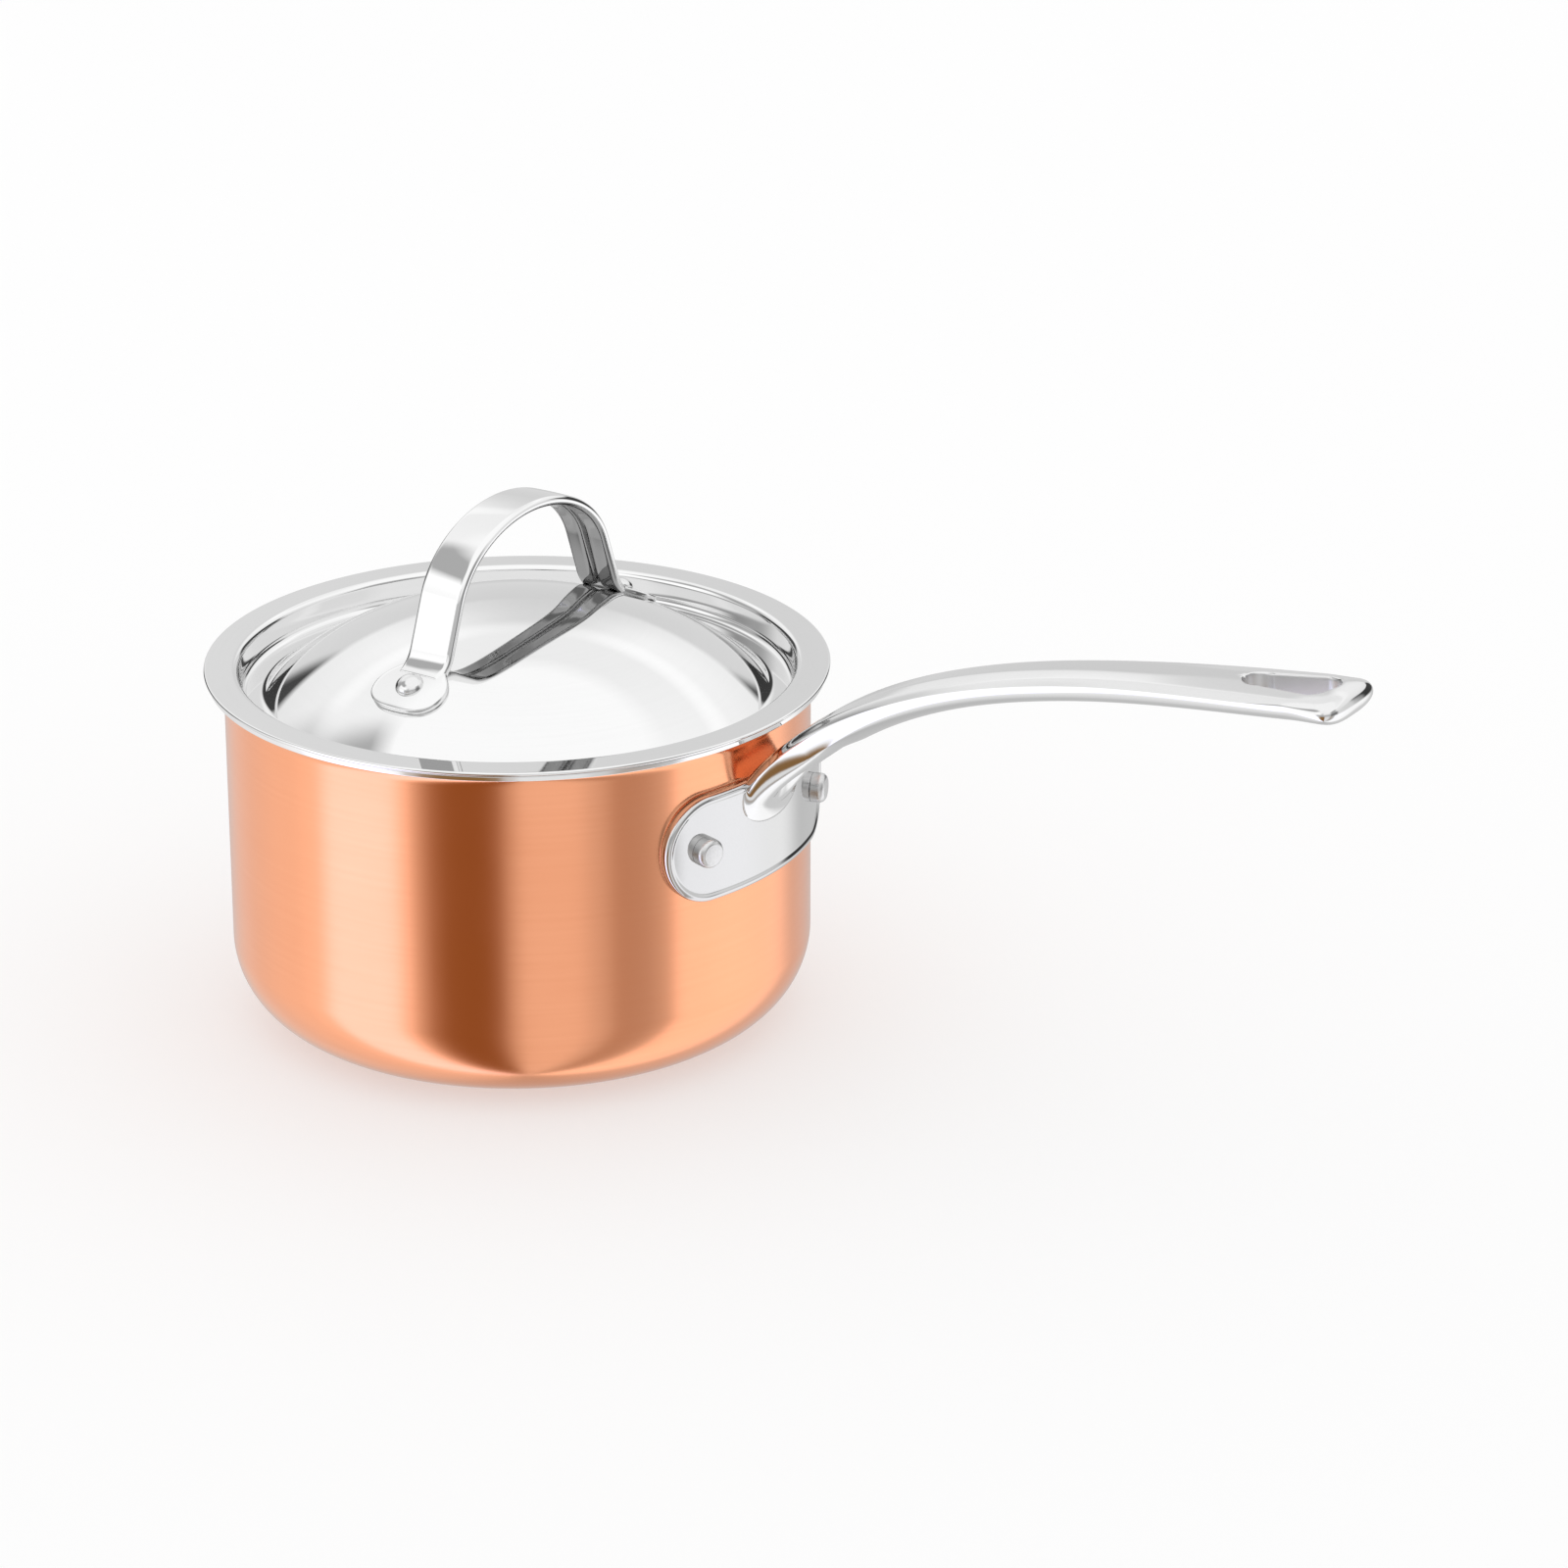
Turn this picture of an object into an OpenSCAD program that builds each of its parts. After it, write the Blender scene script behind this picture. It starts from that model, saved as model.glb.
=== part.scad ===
// Lidded copper saucepan: three-layer body, riveted cast handle, pressed lid with a strap handle.
// Origin: centre of the base's underside. +Z is up and +X points along the long handle.

/* [Pan] */
// Inside diameter of the pan
inner_d = 160; // [130:1:220]
// Height from the base to the top of the lip
pan_h = 102.3; // [80:0.1:150]
// Outside radius of the corner between base and wall
corner_r = 24; // [10:0.5:35]

/* [Wall layers] */
// Thickness of the outer copper layer
copper_t = 0.5; // [0.4:0.1:1]
// Thickness of the aluminium core
core_t = 1.5; // [1:0.1:3]
// Thickness of the stainless lining
lining_t = 0.5; // [0.4:0.1:1]

/* [Lip] */
// Radius of the outward flare under the lip
flare_r = 4; // [3:0.5:8]
// Radius of the pouring edge inside the lip
pour_r = 5; // [3:0.5:5]
// Thickness that the core tapers to at the lip
core_edge_t = 0.1; // [0.1:0.05:0.3]
// How far the turned-over lining hangs below the copper's edge
hook_drop = 0.3; // [0.2:0.1:1]

/* [Lid] */
// Thickness of the lid's sheet
lid_t = 1; // [0.8:0.1:1.5]
// Height that the lid's flange is held above the lip
lid_gap = 0.3; // [0.3:0.05:0.6]
// How far the lid's flange overhangs the pan's lip
flange_over = 1; // [0:0.5:3]
// Radial clearance between the lid's recess and the pan's wall
recess_gap = 0.7; // [0.5:0.1:1.5]
// Depth from the flange's top to the channel's floor
recess_depth = 8.6; // [6:0.1:12]
// Radius of the bend from the flange into the recess
flange_bend_r = 1.8; // [1.7:0.1:2.5]
// Radius of the bend at the foot of the recess wall
recess_bend_r = 2.2; // [1:0.1:3]
// Width of the channel's flat floor
channel_w = 3.5; // [1:0.5:10]
// Radius of the bend from the channel's floor up to the dome
dome_bend_r = 3; // [1:0.1:5]
// Height of the dome above the channel's floor
dome_h = 25.5; // [15:0.5:35]

/* [Lid handle] */
// Direction of the strap from the long handle, in degrees
strap_turn = 88; // [60:1:120]
// Width of the strap
strap_w = 14.4; // [10:0.2:20]
// Thickness of the strap with its rolled edges
strap_t = 3; // [2:0.1:4]
// Half of the arch's width where its legs begin
arch_half_w = 36.5; // [30:0.5:42]
// Height of the arch's rounded part
arch_round_h = 26.7; // [20:0.5:35]
// Height of the arch's top above the dome's top
arch_clear = 31; // [25:0.5:40]
// Angle round the arch at which each straight leg begins
leg_start = 15; // [10:1:25]
// Width of the seam left between the rolled edges
seam_w = 1.2; // [0.8:0.1:2]
// Depth of that seam
seam_depth = 1.6; // [1:0.1:1.9]
// Distance from where the strap's leg meets the dome out to its rivet
foot_reach = 6.2; // [2:0.1:10]
// Width of each foot
foot_w = 23; // [18:0.5:28]
// Thickness of each foot
foot_t = 1.5; // [1:0.1:2.5]

/* [Long handle] */
// Distance from the pan's wall to the grip's tip
grip_len = 179; // [137:0.5:218]
// Height of the grip's tip above the pan's lip
tip_rise = 40.6; // [22:0.1:58]
// Height above the plate's centre at which the neck's centre line enters the wall
neck_rise = 5.6; // [-3:0.1:10]
// Width of the neck at the plate
neck_w = 25.8; // [20:0.1:30]
// Width at the middle of the grip
grip_w = 20.5; // [16:0.5:26]
// Width near the grip's tip
tip_w = 27; // [22:0.5:32]
// Thickness of the neck
neck_t = 11; // [10:0.5:15]
// Thickness of the grip
grip_t = 9.2; // [8:0.1:12]
// Depth of the hollow under the neck
hollow_depth = 4.5; // [3:0.5:6]
// Length of the hollow along the neck
hollow_len = 34; // [20:1:45]

/* [Hanging slot] */
// Distance from the grip's tip to the centre of the slot's wide end
slot_back = 13; // [11:0.5:20]
// Radius of the slot's wide end
slot_wide_r = 7.5; // [5:0.5:8]
// Radius of the slot's narrow end
slot_narrow_r = 5; // [4:0.5:6]
// Distance between the centres of the slot's two ends
slot_len = 14.5; // [10:0.5:25]

/* [Wall plate] */
// Thickness of the plate riveted to the wall
plate_t = 3.2; // [2.5:0.1:5]
// Width of the plate round the wall
plate_w = 83; // [70:1:95]
// Height of the plate
plate_h = 31; // [26:0.5:36]
// Distance from the pan's lip down to the plate's centre
plate_drop = 29.9; // [22:0.1:43]
// Width of the plate's raised border
border_w = 2.4; // [1.5:0.1:3.5]
// Depth of the field inside the border
field_depth = 0.5; // [0.3:0.1:1]

/* [Rivets] */
// Distance between the handle's rivets round the plate's face
rivet_spacing = 57; // [50:0.5:62]
// Diameter of a handle rivet's shank
rivet_shank_d = 5; // [4:0.1:6]
// Diameter of a handle rivet's outer head
rivet_head_d = 8.4; // [7:0.1:11]
// Height of a handle rivet's outer head
rivet_head_h = 3.5; // [2:0.1:5]
// Diameter of a handle rivet's head inside the pan
rivet_inner_d = 12; // [9:0.1:14]
// Height of a handle rivet's head inside the pan
rivet_inner_h = 1.8; // [1.2:0.1:3]
// Diameter of a lid rivet's shank
lid_shank_d = 4; // [3:0.1:5]
// Diameter of a lid rivet's heads
lid_head_d = 8; // [6:0.1:10]
// Height of a lid rivet's top head
lid_head_h = 2.6; // [1.5:0.1:4]
// Height of a lid rivet's head under the lid
lid_under_h = 1.4; // [1:0.1:2]

/* [Hidden] */
$fn = 96;

// Colours
copper_col = [0.85, 0.45, 0.27];
core_col = [0.72, 0.73, 0.75];
steel_col = [0.83, 0.84, 0.86];
rivet_col = [0.74, 0.75, 0.77];

// Pan, worked out from the sizes above
inner_r = inner_d / 2;
wall_t = copper_t + core_t + lining_t;
outer_r = inner_r + wall_t;
lip_t = copper_t + core_edge_t + lining_t;
flare_at = [outer_r + flare_r, pan_h - lip_t - flare_r];
pour_at = [inner_r + pour_r, pan_h - pour_r];
lip_r = flare_at.x + lining_t;
lip_round = 0.3;
// How far the parts of one solid run into each other
overlap = 0.6;
arc_steps = 10;

// Lid, worked out from the sizes above
flange_r = lip_r + flange_over;
flange_z = pan_h + lid_gap + lid_t;
recess_r = inner_r - recess_gap - lid_t;
floor_z = flange_z - recess_depth;
flange_bend_at = [recess_r + flange_bend_r, flange_z - flange_bend_r];
recess_bend_at = [recess_r - recess_bend_r, floor_z + recess_bend_r];
dome_bend_at = [recess_bend_at.x - channel_w, floor_z + dome_bend_r];
dome_r = (pow(dome_bend_at.x, 2) + dome_h * dome_h - 2 * dome_h * dome_bend_r) / (2 * dome_h);
dome_z = floor_z + dome_h - dome_r;
dome_half_angle = atan2(dome_bend_at.x, dome_bend_at.y - dome_z);
dome_steps = 24;

// Strap, worked out from the sizes above
dome_top = floor_z + dome_h;
arch_z = dome_top + arch_clear - arch_round_h;
leg_turn = atan2(arch_half_w * sin(leg_start), arch_round_h * cos(leg_start));
leg_from = [arch_half_w * cos(leg_start), arch_z + arch_round_h * sin(leg_start)];
leg_way = [sin(leg_turn), -cos(leg_turn)];
leg_off = leg_from - [0, dome_z];
// Length of the straight leg down to the dome, and how far it runs on before the dome cuts it off
leg_len = -leg_off * leg_way - sqrt(pow(leg_off * leg_way, 2) - leg_off * leg_off + dome_r * dome_r);
leg_sink = 3.3;
lid_rivet_at = leg_from.x + leg_len * leg_way.x + foot_reach;
foot_tilt = asin(lid_rivet_at / dome_r);
foot_front = 8.5;
foot_back = 7.5;
lid_bore_len = 14;

// Long handle, worked out from the sizes above
plate_r = outer_r + plate_t;
plate_z = pan_h - plate_drop;
neck_z = plate_z + neck_rise;
tip_z = pan_h + tip_rise;
handle_reach = outer_r + grip_len;
rivet_turn = rivet_spacing / plate_r * 180 / PI / 2;
plate_half_turn = plate_w / plate_r * 180 / PI / 2;
neck_slope = 58;
neck_pull = 65;
tip_slope = 6.5;
tip_pull = 63;
path_start = [outer_r, neck_z];
path_end = [handle_reach, tip_z];
path_steps = 30;
// How far the rings start before the curve does, so that their first end lies inside the wall
path_lead = 0.08;
// Distances along X over which the neck narrows and thins, and over which the grip widens to its tip
neck_taper_len = 14;
neck_thin_len = 70;
tip_widen_from = 85;
tip_widen_len = 68;
// Shares of the hollow's length that are at full depth and that fade out
hollow_full = 0.3;
hollow_fade = 0.5;
// The grip's section, in shares of its half width and of its thickness
flat_w = 0.4;
shoulder_w = 0.8;
shoulder_h = 0.37;
ridge_h = 0.215;
groove_w = 0.2;
belly_turns = [22, 45, 68];
// The tip's rounded end: its length, how far it closes and how thin it gets
tip_round_len = 9;
tip_close = 0.7;
tip_thin = 0.35;
// Facets round the wall, and how much a faceted ring grows so that its flats clear the round wall
wall_steps = 180;
flats_clear = 1 / cos(180 / wall_steps);
// How far a handle rivet's hole runs past the wall at each end
bore_reach = 5;
// The height of the curved trims at the handle rivets' heads
trim_h = 40;
// How much the low inner head's edge is trimmed off its width
inner_head_trim = 0.4;
// How strongly the grip's rings crowd towards the tip
path_crowd = 1.25;
// Steps along half of the arch, and along the back and the front of a foot
arch_curve_steps = 16;
foot_back_steps = 10;
foot_front_steps = 24;
// The height of the block that a foot is cut from
foot_block = 12;

function arc(at, r, from, to, steps = arc_steps) =
    [for (i = [0:steps]) let (a = from + (to - from) * i / steps) at + r * [cos(a), sin(a)]];

// A line at depth t under the pan's outer surface, from the middle of the base to a turn of the flare
function under_outside(t, flare_end = 90) = concat(
    [[0, t]],
    arc([outer_r - corner_r, corner_r], corner_r - t, -90, 0),
    arc(flare_at, flare_r + t, 180, flare_end)
);

// A line at depth t under the pan's inner surface, from the middle of the base to the top of the lip
function under_inside(t) = concat(
    [[0, wall_t - t]],
    arc([outer_r - corner_r, corner_r], corner_r - wall_t + t, -90, 0),
    arc(pour_at, pour_r - t, 180, 90)
);

function reversed(list) = [for (i = [len(list) - 1:-1:0]) list[i]];

// The turn of the flare at which the core stops
core_end = 180 - acos((flare_at.x - pour_at.x) / (flare_r + copper_t));

module shell(points) {
    rotate_extrude($fn = wall_steps) polygon(points);
}

// A hole through plate and wall at each handle rivet
module rivet_bore(side) {
    rotate([0, 0, side * rivet_turn])
        translate([inner_r - bore_reach, 0, plate_z])
            rotate([0, 90, 0]) cylinder(d = rivet_shank_d, h = wall_t + plate_t + 2 * bore_reach);
}

module rivet_bores() {
    for (side = [-1, 1]) rivet_bore(side);
}

module copper_shell() {
    color(copper_col) difference() {
        shell(concat(under_outside(0), reversed(under_outside(copper_t))));
        rivet_bores();
    }
}

module aluminium_core() {
    color(core_col) difference() {
        shell(concat(under_outside(copper_t, core_end), reversed(under_inside(lining_t))));
        rivet_bores();
    }
}

module steel_lining() {
    lip_edge = [
        [lip_r - lip_round, pan_h],
        [lip_r, pan_h - lip_round],
        [lip_r, pan_h - lip_t - hook_drop],
        [flare_at.x, pan_h - lip_t - hook_drop]
    ];
    over_copper = arc(flare_at, flare_r + copper_t, 90, core_end);
    color(steel_col) difference() {
        shell(concat(under_inside(0), lip_edge, over_copper, reversed(under_inside(lining_t))));
        rivet_bores();
    }
}

// Handle rivets: a shank through plate and wall, a tall head outside and a low one inside
module handle_rivet(side) {
    head_edge = 1.2;
    dome = rivet_inner_d * rivet_inner_d / 8 / rivet_inner_h + rivet_inner_h / 2;
    color(rivet_col) rotate([0, 0, side * rivet_turn]) {
        difference() {
            translate([inner_r - overlap, 0, plate_z]) rotate([0, 90, 0]) rotate_extrude() union() {
                square([rivet_shank_d / 2, wall_t + plate_t + 1]);
                translate([0, wall_t + plate_t - 1 + overlap]) {
                    square([rivet_head_d / 2, rivet_head_h + 1 - head_edge]);
                    square([rivet_head_d / 2 - head_edge, rivet_head_h + 1]);
                    translate([rivet_head_d / 2 - head_edge, rivet_head_h + 1 - head_edge])
                        intersection() {
                            circle(r = head_edge);
                            square(head_edge);
                        }
                }
            }
            // the outer head sits on the curved plate
            difference() {
                translate([0, 0, plate_z - trim_h / 2]) cylinder(r = plate_r, h = trim_h, $fn = wall_steps);
                translate([inner_r - 1, 0, plate_z]) rotate([0, 90, 0])
                    cylinder(d = rivet_shank_d, h = wall_t + plate_t + 4);
            }
        }
        // the inner head is a low dome on the curved lining
        intersection() {
            translate([inner_r - rivet_inner_h + dome, 0, plate_z]) sphere(r = dome);
            translate([inner_r - rivet_inner_h - 1, 0, plate_z]) rotate([0, 90, 0])
                cylinder(d = rivet_inner_d - inner_head_trim, h = rivet_inner_h + 3);
            translate([0, 0, plate_z - trim_h / 2]) cylinder(r = inner_r, h = trim_h, $fn = wall_steps);
        }
    }
}

// The grip's centre line: a cubic curve from the wall up to the tip
function path_mix(t) = [pow(1 - t, 3), 3 * t * pow(1 - t, 2), 3 * t * t * (1 - t), t * t * t];
path_points = [
    path_start,
    path_start + neck_pull * [cos(neck_slope), sin(neck_slope)],
    path_end - tip_pull * [cos(tip_slope), sin(tip_slope)],
    path_end
];
function path_at(t) = path_mix(t) * path_points;
function path_way(t) = let (d = path_at(t + 0.001) - path_at(t - 0.001)) d / norm(d);
function smooth(x) = let (c = min(1, max(0, x))) c * c * (3 - 2 * c);

// Half width, thickness and hollow at a place along the grip
function half_w(t) = let (x = path_at(t).x)
    (grip_w + (neck_w - grip_w) * (1 - smooth((x - plate_r) / neck_taper_len))
        + (tip_w - grip_w) * smooth((x - handle_reach + tip_widen_from) / tip_widen_len)) / 2;
function thick(t) = grip_t + (neck_t - grip_t) * (1 - smooth((path_at(t).x - plate_r) / neck_thin_len));
function hollow(t) = let (past = path_at(t).x - plate_r - hollow_len * hollow_full)
    hollow_depth * (1 - smooth(past / hollow_len / hollow_fade));

// One ring of the grip: flat top, bevelled shoulders, a ridge each side and a rounded belly
function half_ring(w, t, groove) = concat(
    [[w * flat_w, t / 2], [w * shoulder_w, t * shoulder_h], [w, t * ridge_h]],
    [for (a = belly_turns) [w * cos(a), t * (ridge_h - (ridge_h + 0.5) * sin(a))]],
    [[w * groove_w, groove - t / 2]]
);
function ring(w, t, groove) = let (half = half_ring(w, t, groove))
    concat(half, [for (p = reversed(half)) [-p.x, p.y]]);

// The rings run from inside the wall to the tip, where they shrink along a rounded end
function ring_scale(x) = let (d = (x - handle_reach) / tip_round_len + 1)
    d <= 0 ? 1 : sqrt(max(0, 1 - d * d * tip_close));
function place(p, t) = let (c = path_at(t), d = path_way(t)) [c.x - d.y * p.y, p.x, c.y + d.x * p.y];
ring_at = [for (i = [0:path_steps]) 1 - (1 + path_lead) * pow(1 - i / path_steps, path_crowd)];
grip_rings = [for (t = ring_at) let (s = ring_scale(path_at(t).x))
    [for (p = ring(half_w(t) * s, thick(t) * (tip_thin + (1 - tip_thin) * s), hollow(t))) place(p, t)]];

module loft(rings) {
    n = len(rings[0]);
    m = len(rings);
    sides = [for (i = [0:m - 2]) for (j = [0:n - 1]) let (k = (j + 1) % n)
        each [[i * n + j, i * n + n + k, i * n + n + j], [i * n + j, i * n + k, i * n + n + k]]];
    ends = [[for (j = [n - 1:-1:0]) j], [for (j = [0:n - 1]) (m - 1) * n + j]];
    polyhedron([for (r = rings) each r], concat(sides, ends));
}

// Upright outline with round ends, as wide as w and as tall as h, laid out on the wall's tangent plane
module round_ended(w, h) {
    square([w - h, h], center = true);
    for (side = [-1, 1]) translate([side * (w - h) / 2, 0]) circle(d = h);
}

module plate_outline_cut(w, h, from, depth) {
    translate([from, 0, plate_z]) rotate([90, 0, 90]) linear_extrude(depth) round_ended(w, h);
}

plate_chord = 2 * plate_r * sin(plate_half_turn);

module wall_ring(r1, r2) {
    translate([0, 0, plate_z - plate_h]) difference() {
        cylinder(r = r2 * flats_clear, h = 2 * plate_h, $fn = wall_steps);
        translate([0, 0, -1]) cylinder(r = r1 * flats_clear, h = 2 * plate_h + 2, $fn = wall_steps);
    }
}

module plate() {
    difference() {
        intersection() {
            wall_ring(outer_r, plate_r);
            plate_outline_cut(plate_chord, plate_h, outer_r / 2, outer_r);
        }
        intersection() {
            wall_ring(plate_r - field_depth, plate_r + 1);
            plate_outline_cut(plate_chord - 2 * border_w, plate_h - 2 * border_w, outer_r / 2, outer_r);
        }
    }
}

module hanging_slot() {
    wide = [handle_reach - slot_back, 0];
    narrow = wide - [slot_len, 0];
    lean = acos((slot_wide_r - slot_narrow_r) / slot_len);
    translate([0, 0, pan_h]) linear_extrude(2 * tip_rise) {
        translate(wide) circle(r = slot_wide_r);
        translate(narrow) circle(r = slot_narrow_r);
        polygon([
            wide + slot_wide_r * [cos(lean), sin(lean)],
            narrow + slot_narrow_r * [cos(lean), sin(lean)],
            narrow + slot_narrow_r * [cos(lean), -sin(lean)],
            wide + slot_wide_r * [cos(lean), -sin(lean)]
        ]);
    }
}

module handle() {
    color(steel_col) difference() {
        union() {
            plate();
            difference() {
                loft(grip_rings);
                cylinder(r = outer_r + plate_t / 3, h = pan_h * 2, $fn = wall_steps);
            }
        }
        rivet_bores();
        hanging_slot();
    }
}

// The lid's sheet in section, from the flange's edge to the middle of the dome; t is the depth under its top
function lid_line(t) = concat(
    arc(flange_bend_at, flange_bend_r - t, 90, 180),
    arc(recess_bend_at, recess_bend_r + t, 0, -90),
    arc(dome_bend_at, dome_bend_r + t, -90, -90 - dome_half_angle),
    arc([0, dome_z], dome_r - t, 90 - dome_half_angle, 90, dome_steps)
);

// The space under the dome at depth t under its top, spun from the same line as the lid
module under_dome(t) {
    shell(concat(
        [[0, 0]],
        [[(dome_r - t) * sin(dome_half_angle), 0]],
        arc([0, dome_z], dome_r - t, 90 - dome_half_angle, 90, dome_steps)
    ));
}

module lid_rivet_place(side) {
    rotate([0, 0, strap_turn]) translate([0, 0, dome_z])
        rotate([0, side * foot_tilt, 0]) translate([0, 0, dome_r]) children();
}

module lid_bores() {
    for (side = [-1, 1]) lid_rivet_place(side)
        translate([0, 0, -lid_bore_len / 2]) cylinder(d = lid_shank_d, h = lid_bore_len);
}

module lid() {
    edge_at = [flange_r - lid_t / 2, flange_z - lid_t / 2];
    color(steel_col) difference() {
        shell(concat(arc(edge_at, lid_t / 2, -90, 90), lid_line(0), reversed(lid_line(lid_t))));
        lid_bores();
    }
}

// Half of the arch in its own plane at depth t under its outer face: an ellipse, then a straight leg
function arch_side(t) = concat(
    [for (i = [0:arch_curve_steps]) let (a = 90 - (90 - leg_start) * i / arch_curve_steps)
        let (n = [arch_round_h * cos(a), arch_half_w * sin(a)])
        [arch_half_w * cos(a), arch_z + arch_round_h * sin(a)] - t * n / norm(n)],
    [leg_from + (leg_len + leg_sink) * leg_way - t * [cos(leg_turn), sin(leg_turn)]]
);
function mirrored(list) = [for (p = list) [-p.x, p.y]];
function arch_band(t1, t2) = concat(
    reversed(mirrored(arch_side(t1))), arch_side(t1), reversed(arch_side(t2)), mirrored(arch_side(t2))
);

module arch_solid(width, t1, t2) {
    rotate([90, 0, 0]) linear_extrude(width, center = true) polygon(arch_band(t1, t2));
}

// A foot seen from above: round at the front, narrowing back to the strap's width
module foot_outline(side) {
    back = [for (i = [0:foot_back_steps]) let (k = i / foot_back_steps) [
        foot_back * (k - 1),
        strap_w / 2 + (foot_w - strap_w) / 2 * smooth(k)
    ]];
    front = [for (i = [1:foot_front_steps]) let (a = 90 - 180 * i / foot_front_steps)
        [foot_front * cos(a), foot_w / 2 * sin(a)]];
    mirror([side < 0 ? 1 : 0, 0]) polygon(concat(back, front, [for (p = reversed(back)) [p.x, -p.y]]));
}

module foot(side) {
    intersection() {
        lid_rivet_place(side) translate([0, 0, -foot_block / 2])
            linear_extrude(foot_block) foot_outline(side);
        difference() {
            under_dome(-foot_t);
            under_dome(0);
        }
    }
}

module lid_handle() {
    color(steel_col) difference() {
        union() {
            rotate([0, 0, strap_turn]) difference() {
                arch_solid(strap_w, 0, strap_t);
                arch_solid(seam_w, strap_t - seam_depth, strap_t + 1);
            }
            for (side = [-1, 1]) foot(side);
        }
        under_dome(0);
        lid_bores();
    }
}

module lid_rivet(side) {
    cap_r = lid_head_d * lid_head_d / 8 / lid_head_h + lid_head_h / 2;
    under_cap_r = lid_head_d * lid_head_d / 8 / lid_under_h + lid_under_h / 2;
    color(rivet_col) {
        lid_rivet_place(side) translate([0, 0, -lid_t - overlap])
            cylinder(d = lid_shank_d, h = lid_t + foot_t + 2 * overlap);
        difference() {
            lid_rivet_place(side) intersection() {
                translate([0, 0, foot_t + lid_head_h - cap_r]) sphere(r = cap_r);
                cylinder(d = lid_head_d, h = foot_t + lid_head_h + 1);
            }
            under_dome(-foot_t);
        }
        intersection() {
            lid_rivet_place(side)
                translate([0, 0, under_cap_r - lid_t - lid_under_h]) sphere(r = under_cap_r);
            lid_rivet_place(side) translate([0, 0, -lid_t - lid_under_h - 1])
                cylinder(d = lid_head_d, h = lid_under_h + 1.5);
            under_dome(lid_t);
        }
    }
}

copper_shell();
aluminium_core();
steel_lining();
handle();
handle_rivet(-1);  // handle_rivet_left
handle_rivet(1);  // handle_rivet_right
lid();
lid_handle();
lid_rivet(-1);  // lid_rivet_front
lid_rivet(1);  // lid_rivet_back
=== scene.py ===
"""Lidded copper saucepan: surfaces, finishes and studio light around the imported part.

Sizes below are in millimetres and are turned into metres where a mesh is made.
"""

import math

import bpy
import numpy as np
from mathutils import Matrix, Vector


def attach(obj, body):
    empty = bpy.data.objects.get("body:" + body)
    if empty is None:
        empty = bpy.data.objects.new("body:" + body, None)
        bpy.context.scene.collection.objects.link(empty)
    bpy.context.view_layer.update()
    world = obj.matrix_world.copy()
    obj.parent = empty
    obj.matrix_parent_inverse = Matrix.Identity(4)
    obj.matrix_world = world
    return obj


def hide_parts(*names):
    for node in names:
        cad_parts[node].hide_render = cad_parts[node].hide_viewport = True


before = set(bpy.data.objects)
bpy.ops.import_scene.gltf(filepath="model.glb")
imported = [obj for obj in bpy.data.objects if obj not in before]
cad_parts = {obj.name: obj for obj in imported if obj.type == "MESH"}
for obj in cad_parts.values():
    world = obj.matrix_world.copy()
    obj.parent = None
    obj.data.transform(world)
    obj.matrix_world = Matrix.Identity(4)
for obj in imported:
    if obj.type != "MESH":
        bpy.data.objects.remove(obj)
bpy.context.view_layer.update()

MM = 0.001
WELD = 1e-4

# Pan
PAN_H = 102.3
INNER_R = 80.0
OUTER_R = 82.5
CORNER_R = 24.0
COPPER_T = 0.5
LINING_T = 0.5
WALL_T = 2.5
FLARE_R = 4.0
POUR_R = 5.0
LIP_DROP = 1.1
LIP_ROUND = 0.35
FLARE_AT = (OUTER_R + FLARE_R, PAN_H - LIP_DROP - FLARE_R)
POUR_AT = (INNER_R + POUR_R, PAN_H - POUR_R)
LIP_R = FLARE_AT[0] + LINING_T

# Lid
LID_T = 1.0
FLANGE_R = 88.0
FLANGE_Z = 103.6
RECESS_R = 78.3
FLOOR_Z = 95.0
FLANGE_BEND = 1.8
RECESS_BEND = 2.2
DOME_BEND = 3.0
CHANNEL_W = 3.5
DOME_H = 25.5
DOME_EDGE = RECESS_R - RECESS_BEND - CHANNEL_W
DOME_R = (DOME_EDGE**2 + DOME_H**2 - 2 * DOME_H * DOME_BEND) / (2 * DOME_H)
DOME_Z = FLOOR_Z + DOME_H - DOME_R
DOME_TURN = math.degrees(math.atan2(DOME_EDGE, FLOOR_Z + DOME_BEND - DOME_Z))

# Strap
STRAP_TURN = math.radians(88)
STRAP_W = 14.4
STRAP_T = 3.0
ARCH_A = 36.5
ARCH_B = 26.7
ARCH_Z = FLOOR_Z + DOME_H + 31 - ARCH_B
LEG_START = math.radians(15)
UNDER_ARCH_Z = 118.0
EDGE_ROLL = 1.45
LEG_BEND = 4.2
RIVET_S = 48.6
FOOT_W = 22.6
FOOT_T = 1.7

# Wall plate and its rivets
PLATE_T = 3.2
PLATE_R = OUTER_R + PLATE_T
PLATE_W = 83.0
PLATE_H = 31.0
PLATE_Z = 72.4
FIELD_DEPTH = 0.5
RIVET_TURN = 57 / PLATE_R / 2

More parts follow.
